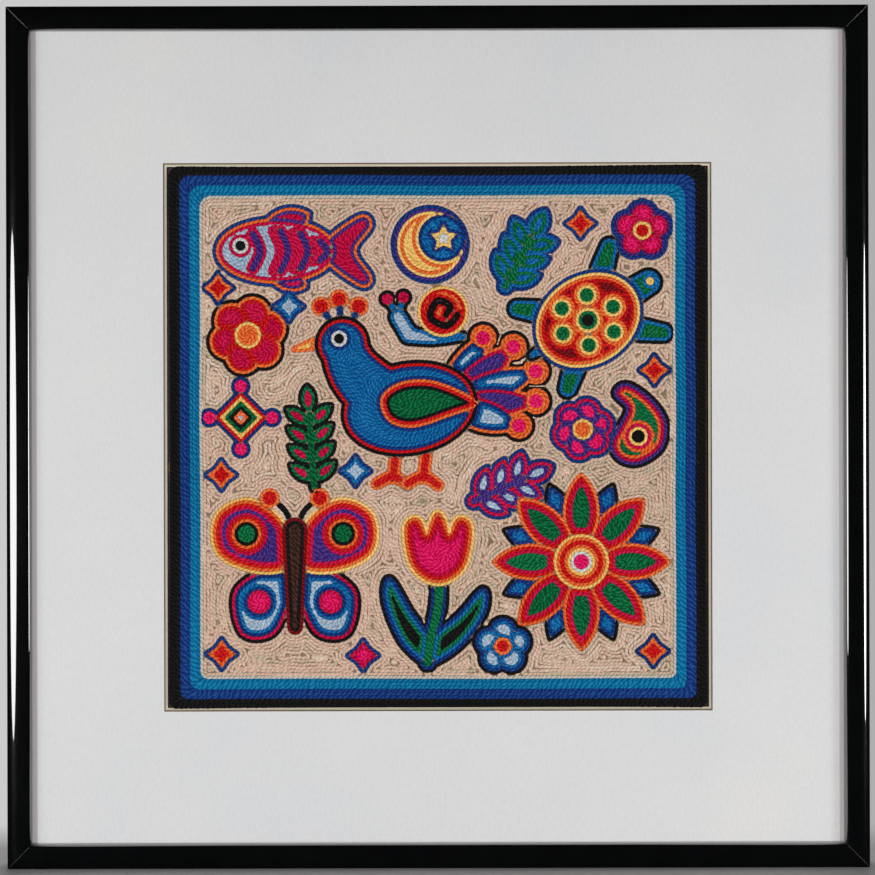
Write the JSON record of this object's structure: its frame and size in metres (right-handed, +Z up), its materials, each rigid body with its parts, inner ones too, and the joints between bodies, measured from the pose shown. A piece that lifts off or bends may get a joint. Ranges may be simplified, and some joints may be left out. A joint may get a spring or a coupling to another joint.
{
  "type": "framed yarn painting",
  "caption": "Square yarn painting pressed in wax on a board, behind a bevelled window mat in a narrow gloss black wooden frame.",
  "frame": {"origin": "the middle of the foot of the frame: centred across its width and its depth, at the height of the surface it stands on", "axes": "+Z up; the picture faces -Y; +X runs to the right as the picture is seen"},
  "size_m": [0.481, 0.028, 0.481],
  "materials": {
    "frame_lacquer": "black gloss lacquer on wood",
    "mat_paper": "matt pale grey paper face, tan core at the bevel",
    "waxed_board": "plywood with a thin coat of beeswax",
    "black_yarn": "matt twisted yarn",
    "dark_blue_yarn": "matt twisted yarn",
    "turquoise_yarn": "matt twisted yarn",
    "field_yarn": "matt twisted yarn in many colours on a beige ground",
    "backing": "plain brown hardboard"
  },
  "bodies": {
    "root": {"frame_rail_top": "frame_lacquer", "frame_rail_right": "frame_lacquer", "frame_rail_bottom": "frame_lacquer", "frame_rail_left": "frame_lacquer", "mat_board": "mat_paper", "painting_board": "waxed_board", "yarn_band_black": "black_yarn", "yarn_band_dark_blue": "dark_blue_yarn", "yarn_band_turquoise": "turquoise_yarn", "yarn_field": "field_yarn", "backing_board": "backing"}
  },
  "joints": []
}
